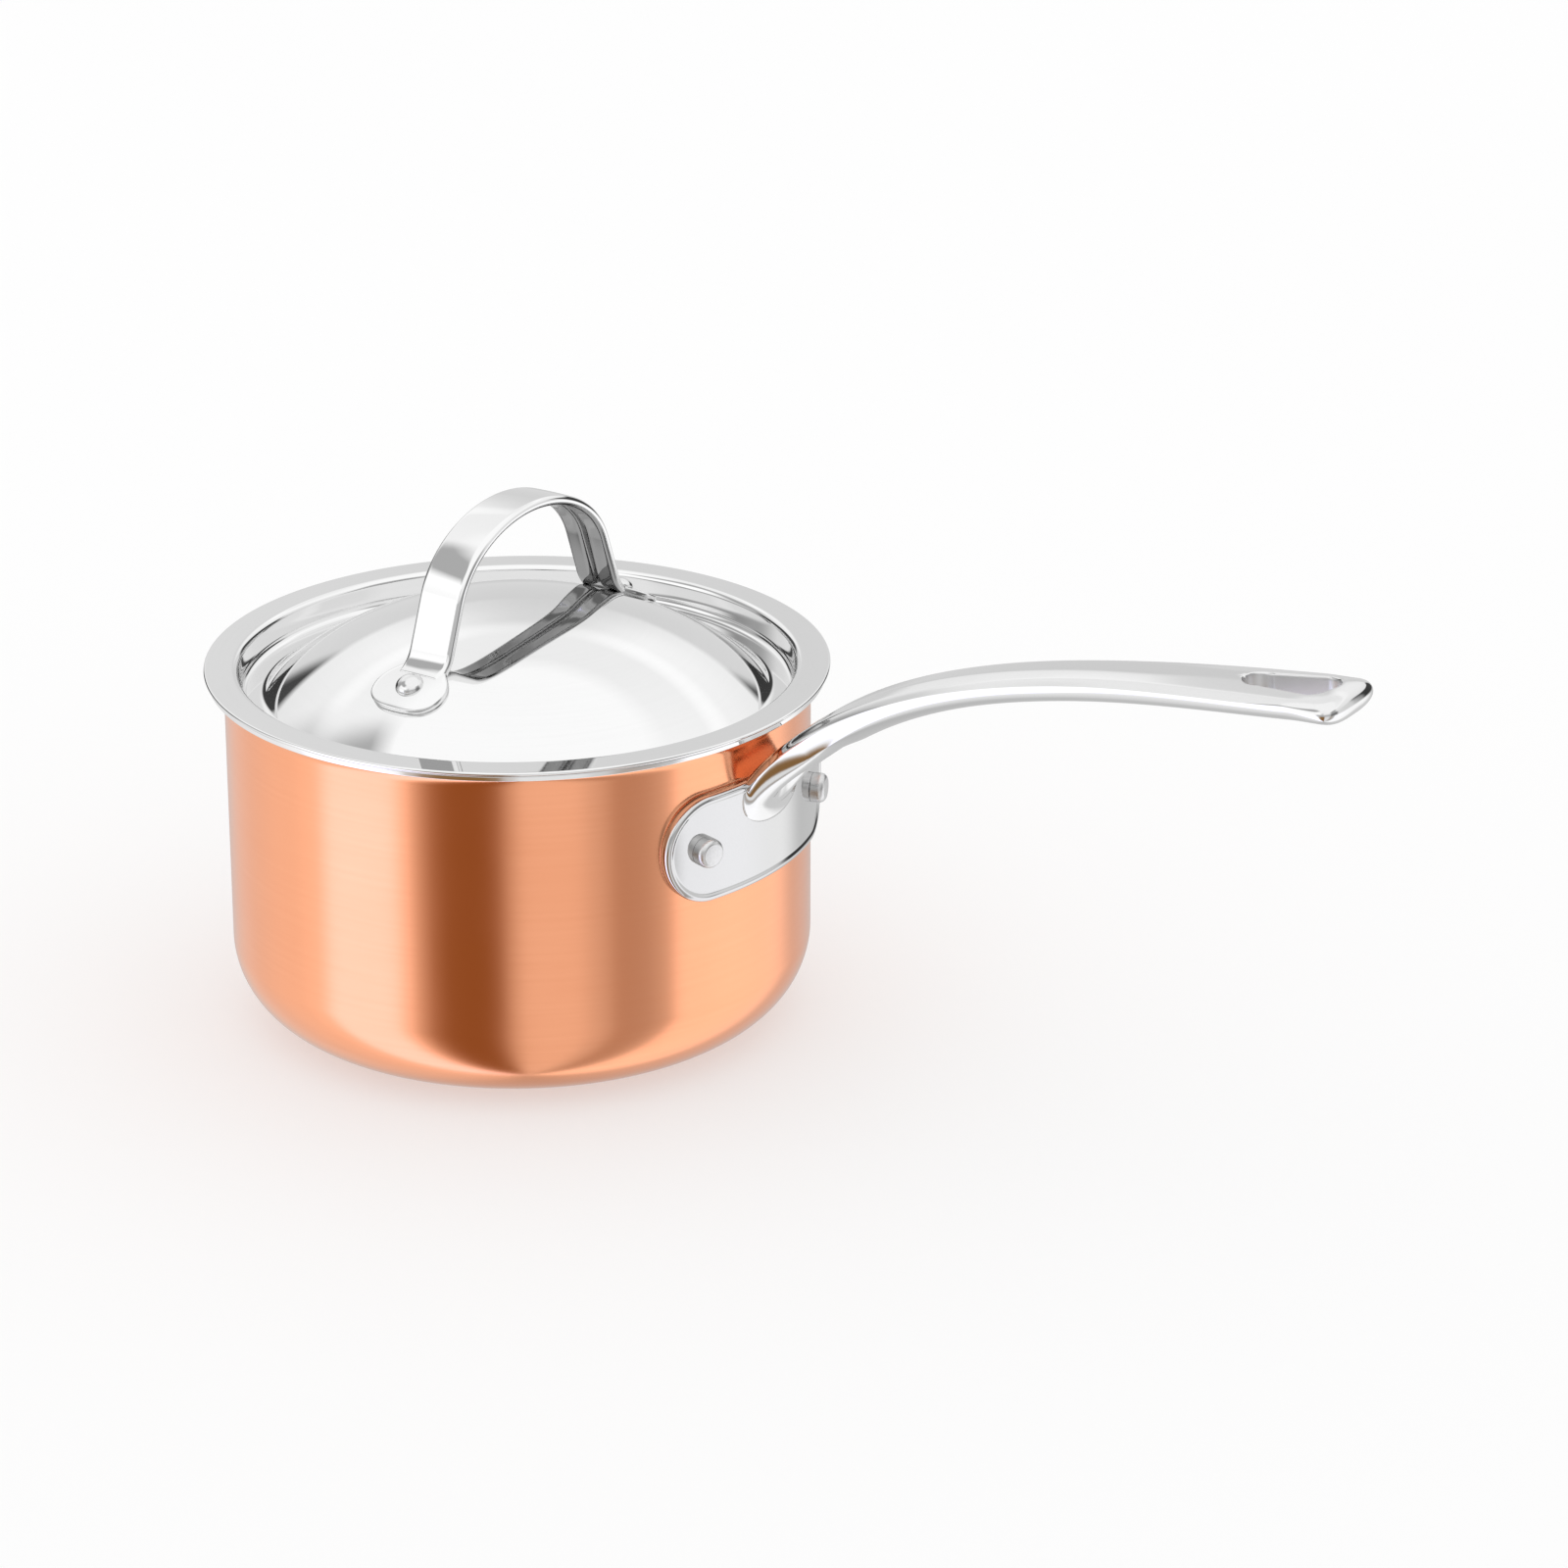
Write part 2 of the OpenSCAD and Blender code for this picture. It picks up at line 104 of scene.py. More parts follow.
# Grip
GRIP_END = 261.5
TIP_Z = 142.9
NECK_Z = 78.0
NECK_PULL, NECK_SLOPE = 65.0, math.radians(58)
TIP_PULL, TIP_SLOPE = 63.0, math.radians(6.5)
PATH = np.array([
    (OUTER_R, NECK_Z),
    (OUTER_R + NECK_PULL * math.cos(NECK_SLOPE), NECK_Z + NECK_PULL * math.sin(NECK_SLOPE)),
    (GRIP_END - TIP_PULL * math.cos(TIP_SLOPE), TIP_Z - TIP_PULL * math.sin(TIP_SLOPE)),
    (GRIP_END, TIP_Z),
])
TIP_ROUND = 6.8
SLOT_RIM = 0.9
GROOVE_DEPTH = 3.6
ROOT_SINK = 0.05
RIDGE = 0.215
BEVEL_AT = 0.8
SLOT_WIDE = (248.5, 7.5)
SLOT_NARROW = (234.0, 5.0)


# ---------------------------------------------------------------- mesh tools
def smooth(x):
    """0 below 0, 1 above 1 and the cubic 3x^2 - 2x^3 between."""
    x = np.clip(x, 0, 1)
    return x * x * (3 - 2 * x)


def eased(n):
    """n + 1 places from 0 to 1, half a cosine wave, so that they crowd towards both ends."""
    return 0.5 - 0.5 * np.cos(np.pi * np.arange(n + 1) / n)


def line(a, b, n):
    """Points on a straight line, crowded towards its ends."""
    return np.array(a, float) + eased(n)[:, None] * (np.array(b, float) - np.array(a, float))


def arc(centre, r, start, end, n):
    """Points on a circle's arc between two turns in degrees."""
    a = np.radians(np.linspace(start, end, n + 1))
    return np.array(centre, float) + r * np.stack([np.cos(a), np.sin(a)], 1)


def chain(*parts):
    """The parts one after another, with the points that repeat left out."""
    p = np.concatenate(parts)
    keep = np.concatenate([[True], np.linalg.norm(np.diff(p, axis=0), axis=1) > 1e-5])
    return p[keep]


def grid_faces(m, n, wrap=False):
    """The quads of an m by n grid of points, joined round its second way if wrap is set."""
    i = np.arange(m - 1)[:, None] * n
    j = np.arange(n if wrap else n - 1)[None, :]
    k = (j + 1) % n
    return np.stack([i + j, i + k, i + n + k, i + n + j], -1).reshape(-1, 4)


def joined(parts):
    """Several (points, faces) pairs as one."""
    starts = np.cumsum([0] + [len(p) for p, _ in parts[:-1]])
    return np.concatenate([p for p, _ in parts]), np.concatenate([f + s for (_, f), s in zip(parts, starts)])


def piece(name, points, faces, body, node, finish_slot, material):
    """One closed piece. Points that coincide are welded, and faces are turned outward by the sign of the volume."""
    key = np.round(points / WELD).astype(np.int64)
    _, first, back = np.unique(key, axis=0, return_index=True, return_inverse=True)
    back = back.reshape(-1)
    pts = points[first] * MM
    f = back[faces]
    same = f == np.roll(f, -1, axis=1)
    f, same = f[same.sum(1) <= 1], same[same.sum(1) <= 1]
    quads = f[same.sum(1) == 0]
    tri_rows, tri_same = f[same.sum(1) == 1], same[same.sum(1) == 1]
    tris = tri_rows[~tri_same].reshape(-1, 3)
    tris = tris[(tris[:, 0] != tris[:, 1]) & (tris[:, 1] != tris[:, 2]) & (tris[:, 0] != tris[:, 2])]
    quads = quads[(quads[:, 0] != quads[:, 2]) & (quads[:, 1] != quads[:, 3])]
    all_tris = np.concatenate([quads[:, [0, 1, 2]], quads[:, [0, 2, 3]], tris])
    volume = np.einsum("ij,ij->i", pts[all_tris[:, 0]], np.cross(pts[all_tris[:, 1]], pts[all_tris[:, 2]])).sum()
    if volume < 0:
        quads, tris = quads[:, ::-1], tris[:, ::-1]
    mesh = bpy.data.meshes.new(name)
    mesh.vertices.add(len(pts))
    mesh.vertices.foreach_set("co", pts.astype(np.float32).ravel())
    loops = np.concatenate([quads.ravel(), tris.ravel()])
    sizes = np.concatenate([np.full(len(quads), 4), np.full(len(tris), 3)])
    mesh.loops.add(len(loops))
    mesh.loops.foreach_set("vertex_index", loops.astype(np.int32))
    mesh.polygons.add(len(sizes))
    mesh.polygons.foreach_set("loop_start", np.concatenate([[0], np.cumsum(sizes)[:-1]]).astype(np.int32))
    mesh.update(calc_edges=True)
    mesh.polygons.foreach_set("use_smooth", np.ones(len(sizes), bool))
    mesh.validate()
    obj = bpy.data.objects.new(name, mesh)
    bpy.context.scene.collection.objects.link(obj)
    mesh.materials.append(material)
    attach(obj, body)
    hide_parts(node)


def spun(profile, steps):
    """A profile of (r, z) points turned round the Z axis: x = r cos a, y = r sin a."""
    a = 2 * np.pi * np.arange(steps) / steps
    r, z = profile[:, 0][:, None], profile[:, 1][:, None]
    pts = np.stack([r * np.cos(a), r * np.sin(a), z + 0 * a], -1)
    return pts.reshape(-1, 3), grid_faces(len(profile), steps, wrap=True)


# ---------------------------------------------------------------- finishes
def group(name, inputs, outputs):
    """An empty node group with the named value inputs (name, default) and outputs."""
    g = bpy.data.node_groups.new(name, "ShaderNodeTree")
    for label, default in inputs:
        s = g.interface.new_socket(label, in_out="INPUT", socket_type="NodeSocketFloat")
        s.default_value = default
    for label in outputs:
        g.interface.new_socket(label, in_out="OUTPUT", socket_type="NodeSocketFloat")
    return g, g.nodes.new("NodeGroupInput"), g.nodes.new("NodeGroupOutput")


def math_node(nt, op, a, b=None):
    """A maths node fed by sockets or numbers; its result socket."""
    n = nt.nodes.new("ShaderNodeMath")
    n.operation = op
    for i, v in enumerate((a, b)):
        if v is None:
            continue
        if isinstance(v, (int, float)):
            n.inputs[i].default_value = v
        else:
            nt.links.new(v, n.inputs[i])
    return n.outputs[0]


def ranged(nt, value, low, high, to_low, to_high):
    """A value moved from one range to another and held inside it."""
    n = nt.nodes.new("ShaderNodeMapRange")
    nt.links.new(value, n.inputs["Value"])
    for label, v in (("From Min", low), ("From Max", high), ("To Min", to_low), ("To Max", to_high)):
        n.inputs[label].default_value = v
    return n.outputs["Result"]


def turned_grain():
    """Fine rings that polishing leaves round the Z axis: noise stretched along the turn."""
    g, gi, go = group("turned grain", [("Fineness", 900.0)], ["Height", "Streaks"])
    co = g.nodes.new("ShaderNodeTexCoord")
    xyz = g.nodes.new("ShaderNodeSeparateXYZ")
    g.links.new(co.outputs["Object"], xyz.inputs[0])
    x, y, z = xyz.outputs
    r = math_node(g, "SQRT", math_node(g, "ADD", math_node(g, "MULTIPLY", x, x), math_node(g, "MULTIPLY", y, y)))
    turn = math_node(g, "ARCTAN2", y, x)
    out = g.nodes.new("ShaderNodeCombineXYZ")
    g.links.new(math_node(g, "MULTIPLY", r, gi.outputs[0]), out.inputs[0])
    g.links.new(math_node(g, "MULTIPLY", z, gi.outputs[0]), out.inputs[1])
    g.links.new(math_node(g, "MULTIPLY", math_node(g, "ABSOLUTE", turn), 1.6), out.inputs[2])
    fine = g.nodes.new("ShaderNodeTexNoise")
    fine.inputs["Scale"].default_value = 1.0
    fine.inputs["Detail"].default_value = 4.0
    g.links.new(out.outputs[0], fine.inputs["Vector"])
    g.links.new(fine.outputs[0], go.inputs[0])
    g.links.new(ranged(g, fine.outputs[0], 0.35, 0.65, 0.0, 1.0), go.inputs[1])
    return g


def handling():
    """Soft smudges and hairline scratches, each as a mask from 0 to 1."""
    g, gi, go = group("handling", [("Size", 30.0)], ["Smudge", "Scratch"])
    co = g.nodes.new("ShaderNodeTexCoord")
    soft = g.nodes.new("ShaderNodeTexNoise")
    soft.inputs["Detail"].default_value = 3.0
    g.links.new(co.outputs["Object"], soft.inputs["Vector"])
    g.links.new(gi.outputs[0], soft.inputs["Scale"])
    g.links.new(ranged(g, soft.outputs[0], 0.42, 0.68, 0.0, 1.0), go.inputs[0])
    hair = g.nodes.new("ShaderNodeTexNoise")
    hair.inputs["Detail"].default_value = 6.0
    hair.inputs["Distortion"].default_value = 2.5
    g.links.new(co.outputs["Object"], hair.inputs["Vector"])
    g.links.new(math_node(g, "MULTIPLY", gi.outputs[0], 14.0), hair.inputs["Scale"])
    near = math_node(g, "ABSOLUTE", math_node(g, "SUBTRACT", hair.outputs[0], 0.5))
    g.links.new(ranged(g, near, 0.0, 0.006, 1.0, 0.0), go.inputs[1])
    return g


GRAIN = turned_grain()
HANDLING = handling()


def metal(name, colour, shade, rough, rough_more, bump, turned):
    """A metal: colour drifts a little to a second shade, grain sets the bump, and smudges and scratches roughen it."""
    m = bpy.data.materials.new(name)
    m.use_nodes = True
    nt = m.node_tree
    shader = nt.nodes["Principled BSDF"]
    shader.inputs["Metallic"].default_value = 1.0
    marks = nt.nodes.new("ShaderNodeGroup")
    marks.node_tree = HANDLING
    if turned:
        grain = nt.nodes.new("ShaderNodeGroup")
        grain.node_tree = GRAIN
        height, streaks = grain.outputs[0], grain.outputs[1]
    else:
        co = nt.nodes.new("ShaderNodeTexCoord")
        fine = nt.nodes.new("ShaderNodeTexNoise")
        fine.inputs["Scale"].default_value = 1800.0
        fine.inputs["Detail"].default_value = 3.0
        nt.links.new(co.outputs["Object"], fine.inputs["Vector"])
        height = fine.outputs[0]
        streaks = ranged(nt, height, 0.35, 0.65, 0.0, 1.0)
    mix = nt.nodes.new("ShaderNodeMix")
    mix.data_type = "RGBA"
    mix.inputs["A"].default_value = (*colour, 1)
    mix.inputs["B"].default_value = (*shade, 1)
    tint = math_node(nt, "MULTIPLY", math_node(nt, "ADD", marks.outputs["Smudge"], streaks), 0.5)
    nt.links.new(tint, mix.inputs["Factor"])
    nt.links.new(mix.outputs["Result"], shader.inputs["Base Color"])
    worn = math_node(nt, "ADD", math_node(nt, "MULTIPLY", marks.outputs["Smudge"], rough_more),
                     math_node(nt, "MULTIPLY", marks.outputs["Scratch"], rough_more))
    worn = math_node(nt, "ADD", worn, math_node(nt, "MULTIPLY", streaks, rough_more * 0.6))
    nt.links.new(math_node(nt, "ADD", worn, rough), shader.inputs["Roughness"])
    b = nt.nodes.new("ShaderNodeBump")
    b.inputs["Strength"].default_value = bump
    b.inputs["Distance"].default_value = 0.00002
    nt.links.new(height, b.inputs["Height"])
    nt.links.new(b.outputs[0], shader.inputs["Normal"])
    return m


def satin_slot(m):
    """Roughens the faces inside the hanging slot: those that stand upright between the slot's two ends."""
    nt = m.node_tree
    co = nt.nodes.new("ShaderNodeTexCoord")
    place, way = nt.nodes.new("ShaderNodeSeparateXYZ"), nt.nodes.new("ShaderNodeSeparateXYZ")
    nt.links.new(co.outputs["Object"], place.inputs[0])
    nt.links.new(co.outputs["Normal"], way.inputs[0])
    start, end, spare = SLOT_NARROW[0] - SLOT_NARROW[1], SLOT_WIDE[0] + SLOT_WIDE[1], 0.2
    along = math_node(nt, "COMPARE", place.outputs[0], (start + end) / 2 * MM)
    along.node.inputs[2].default_value = ((end - start) / 2 + spare) * MM
    across = math_node(nt, "LESS_THAN", math_node(nt, "ABSOLUTE", place.outputs[1]), (SLOT_WIDE[1] + spare) * MM)
    upright = math_node(nt, "LESS_THAN", math_node(nt, "ABSOLUTE", way.outputs[2]), 0.5)
    mask = math_node(nt, "MULTIPLY", math_node(nt, "MULTIPLY", along, across), upright)
    rough = nt.nodes["Principled BSDF"].inputs["Roughness"]
    nt.links.new(math_node(nt, "ADD", rough.links[0].from_socket, math_node(nt, "MULTIPLY", mask, 0.3)), rough)


def dark_inside(m, centre, share):
    """Darkens the faces that look towards a centre, as a stand-in for the dark surroundings they would reflect."""
    nt = m.node_tree
    shader = nt.nodes["Principled BSDF"]
    co = nt.nodes.new("ShaderNodeTexCoord")
    off, way, facing = (nt.nodes.new("ShaderNodeVectorMath") for _ in range(3))
    off.operation, way.operation, facing.operation = "SUBTRACT", "NORMALIZE", "DOT_PRODUCT"
    nt.links.new(co.outputs["Object"], off.inputs[0])
    off.inputs[1].default_value = centre
    nt.links.new(off.outputs[0], way.inputs[0])
    nt.links.new(way.outputs[0], facing.inputs[0])
    nt.links.new(co.outputs["Normal"], facing.inputs[1])
    shade = ranged(nt, facing.outputs["Value"], -0.45, 0.0, 1.0 - share, 1.0)
    # the base colour scaled down on the inward faces: a painted reflection of dark surroundings
    painted_dark_colour = nt.nodes.new("ShaderNodeVectorMath")
    painted_dark_colour.operation = "SCALE"
    base = shader.inputs["Base Color"]
    nt.links.new(base.links[0].from_socket, painted_dark_colour.inputs[0])
    nt.links.new(shade, painted_dark_colour.inputs["Scale"])
    nt.links.new(painted_dark_colour.outputs[0], base)


COPPER = metal("polished copper", (0.94, 0.412, 0.228), (0.925, 0.392, 0.212),
               rough=0.15, rough_more=0.022, bump=0.10, turned=True)
STEEL = metal("mirror steel", (0.80, 0.80, 0.80), (0.785, 0.785, 0.785),
              rough=0.03, rough_more=0.012, bump=0.018, turned=True)
CAST = metal("polished cast steel", (0.74, 0.74, 0.74), (0.72, 0.72, 0.72),
             rough=0.055, rough_more=0.025, bump=0.05, turned=False)
satin_slot(CAST)
STRAP_STEEL = metal("rolled strap steel", (0.80, 0.80, 0.80), (0.79, 0.79, 0.79),
                    rough=0.035, rough_more=0.012, bump=0.006, turned=False)
# painted reflection: the strap's faces that look in under the arch are darkened
dark_inside(STRAP_STEEL, centre=(0, 0, UNDER_ARCH_Z * MM), share=0.58)
# The plate is the grip's cast steel, a little rougher, with its colour set darker than the grip's: painted shade
# against the bright light it faces.
SHADED_PLATE_STEEL = metal("cast plate steel with painted shade", (0.62, 0.62, 0.62), (0.60, 0.60, 0.60),
              rough=0.075, rough_more=0.03, bump=0.06, turned=False)
SATIN = metal("satin rivet steel", (0.70, 0.70, 0.70), (0.63, 0.63, 0.63),
              rough=0.30, rough_more=0.08, bump=0.2, turned=False)
CORE = metal("plain aluminium", (0.72, 0.73, 0.75), (0.66, 0.67, 0.69),
             rough=0.32, rough_more=0.10, bump=0.30, turned=True)


# ---------------------------------------------------------------- pan
def outside(t):
    """The line at depth t under the pan's outer face, from the middle of the base up to the flare."""
    c = (OUTER_R - CORNER_R, CORNER_R)
    return chain(line((0, t), (c[0], t), 20), arc(c, CORNER_R - t, -90, 0, 40),
                 line((OUTER_R - t, CORNER_R), (OUTER_R - t, FLARE_AT[1]), 48),
                 arc(FLARE_AT, FLARE_R + t, 180, 90, 24))


def inside(t):
    """The line at depth t under the pan's inner face, from the middle of the floor up over the pouring edge."""
    c = (OUTER_R - CORNER_R, CORNER_R)
    r = CORNER_R - WALL_T + t
    return chain(line((0, WALL_T - t), (c[0], WALL_T - t), 20), arc(c, r, -90, 0, 40),
                 line((c[0] + r, CORNER_R), (c[0] + r, POUR_AT[1]), 40), arc(POUR_AT, POUR_R - t, 180, 90, 20))


copper_line = chain(outside(0), outside(COPPER_T)[::-1])
piece("copper_body", *spun(copper_line, 320), "pan", "copper_shell", "copper", COPPER)

core_end = 180 - math.degrees(math.acos((FLARE_AT[0] - POUR_AT[0]) / (FLARE_R + COPPER_T)))
hook_z = PAN_H - LIP_DROP - 0.3
lip = chain(arc((LIP_R - LIP_ROUND, PAN_H - LIP_ROUND), LIP_ROUND, 90, 0, 8),
            line((LIP_R, PAN_H - LIP_ROUND), (LIP_R, hook_z), 4),
            line((LIP_R, hook_z), (FLARE_AT[0], hook_z), 2))
lining_line = chain(inside(0), lip, arc(FLARE_AT, FLARE_R + COPPER_T, 90, core_end, 12), inside(LINING_T)[::-1])
piece("steel_lining_skin", *spun(lining_line, 320), "pan", "steel_lining", "steel", STEEL)


# ---------------------------------------------------------------- lid
def lid_line(t):
    """The lid's sheet at depth t under its top: flange, recess wall, channel and one spherical dome."""
    return chain(
        arc((RECESS_R + FLANGE_BEND, FLANGE_Z - FLANGE_BEND), FLANGE_BEND - t, 90, 180, 14),
        line((RECESS_R + t, FLANGE_Z - FLANGE_BEND), (RECESS_R + t, FLOOR_Z + RECESS_BEND), 10),
        arc((RECESS_R - RECESS_BEND, FLOOR_Z + RECESS_BEND), RECESS_BEND + t, 0, -90, 14),
        line((RECESS_R - RECESS_BEND, FLOOR_Z - t), (DOME_EDGE, FLOOR_Z - t), 8),
        arc((DOME_EDGE, FLOOR_Z + DOME_BEND), DOME_BEND + t, -90, -90 - DOME_TURN, 16),
        arc((0, DOME_Z), DOME_R - t, 90 - DOME_TURN, 90, 80),
    )


edge = arc((FLANGE_R - LID_T / 2, FLANGE_Z - LID_T / 2), LID_T / 2, -90, 90, 12)
lid_profile = chain(edge, line(edge[-1], lid_line(0)[0], 10), lid_line(0), lid_line(LID_T)[::-1],
                    line(lid_line(LID_T)[0], edge[0], 6))
piece("lid_sheet", *spun(lid_profile, 300), "cover", "lid", "steel", STEEL)


# ---------------------------------------------------------------- strap and feet
def turned(points):
    """Points laid out with the strap's span along X, turned to the strap's own direction."""
    c, s = math.cos(STRAP_TURN), math.sin(STRAP_TURN)
    x, y, z = points[..., 0], points[..., 1], points[..., 2]
    return np.stack([x * c - y * s, x * s + y * c, z], -1)


def strap_path():
    """Half of the arch's outer line, from its top down: ellipse, straight leg, a tight bend, then along the dome."""
    a = np.linspace(math.pi / 2, LEG_START, 49)
    top = np.stack([ARCH_A * np.cos(a), ARCH_Z + ARCH_B * np.sin(a)], 1)
    lean = math.atan2(ARCH_A * math.sin(LEG_START), ARCH_B * math.cos(LEG_START))
    way = np.array([math.sin(lean), -math.cos(lean)])
    off = top[-1] - np.array([0, DOME_Z])
    along = -off @ way - math.sqrt((off @ way) ** 2 - off @ off + (DOME_R + FOOT_T) ** 2)
    hit = top[-1] + way * along
    down = hit - way * LEG_BEND
    slope = math.asin(hit[0] / DOME_R)
    out = hit + np.array([math.cos(slope), -math.sin(slope)]) * LEG_BEND
    k = np.linspace(0, 1, 15)[:, None]
    turn = (1 - k) ** 2 * down + 2 * k * (1 - k) * hit + k * k * out
    return chain(top, line(top[-1], down, 16), turn)


def strap():
    """A rounded section with a seam between two rolled edges, carried along the arch and closed at both ends."""
    half = strap_path()
    path = np.concatenate([half[::-1] * [-1, 1], half[1:]])
    d = np.gradient(path, axis=0)
    d /= np.linalg.norm(d, axis=1)[:, None]
    normal = np.stack([-d[:, 1], d[:, 0]], 1)
    w, t, e = STRAP_W / 2, STRAP_T, EDGE_ROLL
    face = np.linspace(-1, 1, 25)
    outer = np.stack([face * (w - e), 0.1 * face**2], 1)
    roll = arc((w - e, 0.1 + e), e, -90, 90, 14)
    k = np.linspace(0, 1, 14)[1:]
    bulge = np.stack([(w - e) + (0.62 - w + e) * k, 0.1 + 2 * e - 0.5 * k**6], 1)
    seam = np.array([[0.5, t - 0.75], [0.36, t - 1.2], [0.14, t - 1.55]])
    right = np.concatenate([roll[1:], bulge, seam])
    loop = np.concatenate([outer, right, (right * [-1, 1])[::-1]])
    sign = 1.0 if normal[len(path) // 2][1] < 0 else -1.0
    xz = path[:, None, :] + sign * loop[None, :, 1:] * normal[:, None, :]
    grid = np.stack([xz[..., 0], loop[None, :, 0] + 0 * xz[..., 0], xz[..., 1]], -1)
    m, n = grid.shape[:2]
    caps = [np.repeat(grid[i].mean(0)[None], n, 0)[None] for i in (0, -1)]
    full = np.concatenate([caps[0], grid, caps[1]])
    return turned(full).reshape(-1, 3), grid_faces(m + 2, n, wrap=True)


def foot(side):
    """A rounded tab on the dome: rings from its edge in to its middle, at a height that rolls over at the rim."""
    a = 2 * np.pi * np.arange(96) / 96
    px = np.where(np.cos(a) > 0, 7.8, 9.6) * np.sign(np.cos(a)) * np.abs(np.cos(a)) ** 0.84
    py = FOOT_W / 2 * np.sign(np.sin(a)) * np.abs(np.sin(a)) ** 0.84
    shrink = 1 - 0.22 * smooth(-px / 9.6)
    py = py * shrink
    inset = np.array([1, 1, 1, 0.992, 0.97, 0.935, 0.85, 0.6, 0.4, 0.2, 0.0])
    height = FOOT_T * np.array([0, 0.4, 0.72, 0.87, 0.96, 0.99, 1, 1, 1, 1, 1])
    inset, height = np.concatenate([[0.0], inset]), np.concatenate([[0.0], height])
    u = RIVET_S + px[None, :] * inset[:, None]
    v = py[None, :] * inset[:, None]
    base = np.sqrt(DOME_R**2 - u**2 - v**2)
    scale = (DOME_R + height[:, None]) / DOME_R
    grid = np.stack([u * scale * side, v * scale, DOME_Z + base * scale], -1)
    return turned(grid).reshape(-1, 3), grid_faces(len(inset), 96, wrap=True)


piece("strap_handle", *joined([strap(), foot(1), foot(-1)]), "cover", "lid_handle", "steel", STRAP_STEEL)


def on_dome(points, side):
    """Points of a rivet stood up on the dome at its foot: local Z becomes the dome's outward direction."""
    tilt = math.asin(RIVET_S / DOME_R) * side
    c, s = math.cos(tilt), math.sin(tilt)
    x, y, z = points[:, 0], points[:, 1], points[:, 2] + DOME_R
    return turned(np.stack([x * c + z * s, y, DOME_Z - x * s + z * c], -1))


def lid_rivet():
    """A domed head on the foot, a shank, and a low head under the sheet."""
    r, h, u, shank = 4.0, 2.6, 1.4, 2.0
    k = np.linspace(0, math.pi / 2, 18)
    head = np.stack([r * np.cos(k), FOOT_T - 0.2 + h * np.sin(k) ** 0.92], 1)
    low = np.stack([r * np.cos(k[::-1]), -LID_T - u * np.sin(k[::-1])], 1)
    low[0, 0], head[-1, 0] = 0, 0
    return chain(low, [[shank, -LID_T], [shank, FOOT_T], [r, FOOT_T]], head)


for side, node in ((-1, "lid_rivet_front"), (1, "lid_rivet_back")):
    p, f = spun(lid_rivet(), 72)
    piece(node + "_head", on_dome(p, side), f, "cover", node, "rivet", CAST)


# ---------------------------------------------------------------- handle rivets
def handle_rivet():
    """A tall rounded outer head, the shank through plate and wall, and a low inner head, as (r, distance out)."""
    r, h, edge_r, crown_h = 4.2, 3.5, 1.9, 0.12
    inner_r, inner_h, inner_ball, shank = 5.8, 1.8, 10.4, 2.5
    inner = arc((0, INNER_R - inner_h + inner_ball), inner_ball,
                -90, -90 + math.degrees(math.asin(inner_r / inner_ball)), 14)
    start = PLATE_R - FIELD_DEPTH
    side = line((r, start), (r, PLATE_R + h - edge_r), 6)
    cap = arc((r - edge_r, PLATE_R + h - edge_r), edge_r, 0, 78, 14)
    cap[:, 1] = np.minimum(cap[:, 1], PLATE_R + h - crown_h)
    k = np.linspace(1, 0, 12)
    crown = np.stack([np.linspace(cap[-1, 0], 0, 12), cap[-1, 1] + crown_h * (1 - k**2)], 1)
    return chain(inner, [[inner_r, INNER_R], [shank, INNER_R], [shank, start]], side, cap, crown)


for turn, node in ((-RIVET_TURN, "handle_rivet_left"), (RIVET_TURN, "handle_rivet_right")):
    p, f = spun(handle_rivet(), 72)
    out, across, up = p[:, 2], p[:, 0], p[:, 1]
    c, s = math.cos(turn), math.sin(turn)
    stood = np.stack([out * c - across * s, out * s + across * c, up + PLATE_Z], -1)
    piece(node + "_head", stood, f, "pan", node, "rivet", SATIN)


# ---------------------------------------------------------------- wall plate
def plate():
    """Stadium outlines stepped inwards, wrapped on the wall: back, edge, rounded border, bevel, then the flat field."""
    h = PLATE_H / 2
    straight = PLATE_W / 2 - h
    n = 60
    ends = np.linspace(-math.pi / 2, math.pi / 2, 41)
    right = np.stack([straight + 0 * ends, 0 * ends], 1)
    dirs = np.stack([np.cos(ends), np.sin(ends)], 1)
    top = np.stack([np.linspace(straight, -straight, n + 1)[1:-1], np.zeros(n - 1)], 1)
    up = np.repeat([[0.0, 1.0]], n - 1, 0)
    core = np.concatenate([right, top, -right, -top])
    out = np.concatenate([dirs, up, -dirs, -up])
    levels = np.array([
        (0.0, 0.0), (h * 0.5, 0.0), (h, 0.0), (h, 1.2), (h, 1.9), (h - 0.12, 2.35), (h - 0.4, 2.75), (h - 0.8, 3.05),
        (h - 1.3, 3.2), (h - 1.7, 3.18), (h - 2.05, 3.0), (h - 2.35, 2.76), (h - 2.65, 2.7), (h - 2.9, 2.7),
        (h * 0.6, 2.7), (h * 0.35, 2.7), (0.0, 2.7)])
    uv = core[None] + out[None] * levels[:, :1, None]
    r = OUTER_R + levels[:, 1][:, None]
    a = uv[..., 0] / PLATE_R
    grid = np.stack([r * np.cos(a), r * np.sin(a), PLATE_Z + uv[..., 1]], -1)
    return grid.reshape(-1, 3), grid_faces(len(levels), len(core), wrap=True)


# ---------------------------------------------------------------- grip
FINE = np.linspace(0, 1, 801)


def path_at(t):
    """The grip's middle line: a cubic curve from the wall to the tip, as (x, z)."""
    t = np.asarray(t)[..., None]
    return (1 - t) ** 3 * PATH[0] + 3 * t * (1 - t) ** 2 * PATH[1] + 3 * t * t * (1 - t) * PATH[2] + t**3 * PATH[3]


